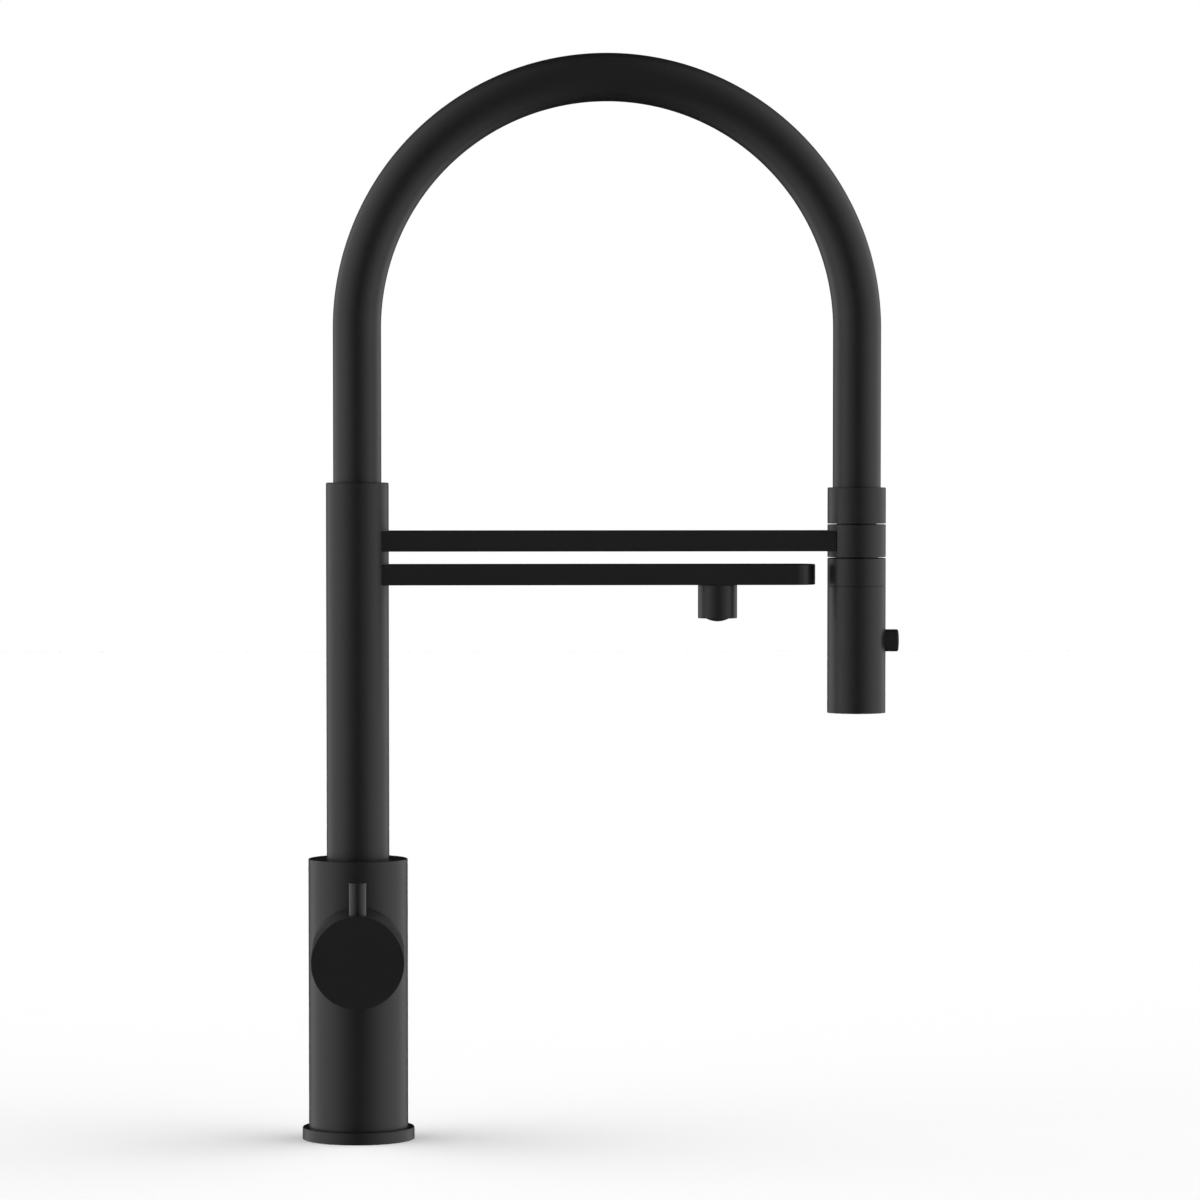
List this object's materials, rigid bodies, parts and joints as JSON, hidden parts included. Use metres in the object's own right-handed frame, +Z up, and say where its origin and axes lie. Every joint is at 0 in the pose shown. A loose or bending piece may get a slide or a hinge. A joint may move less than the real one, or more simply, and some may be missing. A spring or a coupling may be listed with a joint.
{
  "type": "kitchen faucet",
  "caption": "Tall arched kitchen faucet with a side knob, a pull-down spray head held by a docking arm, and a second arm with an aerator outlet.",
  "frame": {"origin": "on the body's axis at the worktop's surface, which is the underside of the base plate", "axes": "+Z up along the body and post, +X along both arms towards the spray head, -Y towards the knob"},
  "size_m": [0.3007, 0.1032, 0.6218],
  "materials": {
    "satin_black": "satin black coating on metal",
    "black_plastic": "matt black moulded plastic",
    "brass": "machined brass",
    "steel": "plain steel",
    "rubber": "matt black rubber",
    "white_plastic": "natural white moulded plastic",
    "grey_plastic": "grey moulded plastic",
    "ceramic": "polished ceramic"
  },
  "bodies": {
    "base": {"base_plate": "satin_black", "base_seal": "rubber", "mounting_shank": "brass", "rubber_washer": "rubber", "steel_washer": "steel", "lock_nut": "brass", "body_sleeve": "satin_black", "valve_block": "brass", "swivel_bush": "white_plastic", "swivel_screw": "steel", "hose_seal": "rubber", "cartridge_collar": "satin_black", "cartridge_body": "grey_plastic", "cartridge_seals": "rubber", "fixed_disc": "ceramic", "cartridge_nut": "brass", "diverter_seat": "brass", "diverter_spring": "steel"},
    "diverter": {"diverter_piston": "white_plastic"},
    "handle": {"moving_disc": "ceramic", "cartridge_stem": "brass", "knob_adapter": "white_plastic", "knob": "satin_black", "pin_lever": "satin_black", "knob_screw": "steel", "knob_plug": "black_plastic"},
    "spout": {"swivel_spigot": "brass", "swivel_seals": "rubber", "riser_post": "satin_black", "tube_socket": "satin_black", "arch_tube": "satin_black", "tube_collar": "satin_black", "tube_spigot": "satin_black", "docking_arm": "satin_black", "dock_bush": "black_plastic", "spout_arm": "satin_black", "outlet_pipe": "white_plastic", "aerator_housing": "satin_black", "aerator_seal": "rubber", "aerator_insert": "black_plastic", "pipe_guides": "white_plastic", "arch_hose": "grey_plastic", "hose_plug": "brass"},
    "hose": {"pull_hose": "grey_plastic", "hose_fitting": "steel"},
    "head": {"swivel_nut": "satin_black", "spigot_seal": "rubber", "hose_washer": "rubber", "head_top": "satin_black", "head_shell": "satin_black", "spray_housing": "grey_plastic", "nozzle_mat": "rubber", "spray_face": "black_plastic", "stream_insert": "grey_plastic", "button_spring": "steel"},
    "button": {"button": "satin_black", "spool_seals": "rubber"}
  },
  "joints": [
    {"name": "spout_swivel", "type": "hinge", "parent": "base", "child": "spout", "pos_m": [0, 0, 0.13], "axis": [0, 0, 1], "range_deg": [-75, 75]},
    {"name": "handle_turn", "type": "hinge", "parent": "base", "child": "handle", "pos_m": [0, -0.06, 0.096], "axis": [0, 1, 0], "range_deg": [0, 100]},
    {"name": "head_pull", "type": "slide", "parent": "spout", "child": "hose", "axis": [0, 0, -1], "range_m": [0, 0.09]},
    {"name": "head_spin", "type": "hinge", "parent": "hose", "child": "head", "pos_m": [0.2514, 0, 0.29], "axis": [0, 0, 1], "continuous": true},
    {"name": "button_press", "type": "slide", "parent": "head", "child": "button", "axis": [-1, 0, 0], "range_m": [0, 0.0035], "stiffness_N_per_m": 600, "springref_m": -0.002},
    {"name": "diverter_shift", "type": "slide", "parent": "base", "child": "diverter", "axis": [0, 0, -1], "range_m": [0, 0.0025], "stiffness_N_per_m": 100, "springref_m": -0.003, "deforming": ["diverter_spring"]}
  ]
}
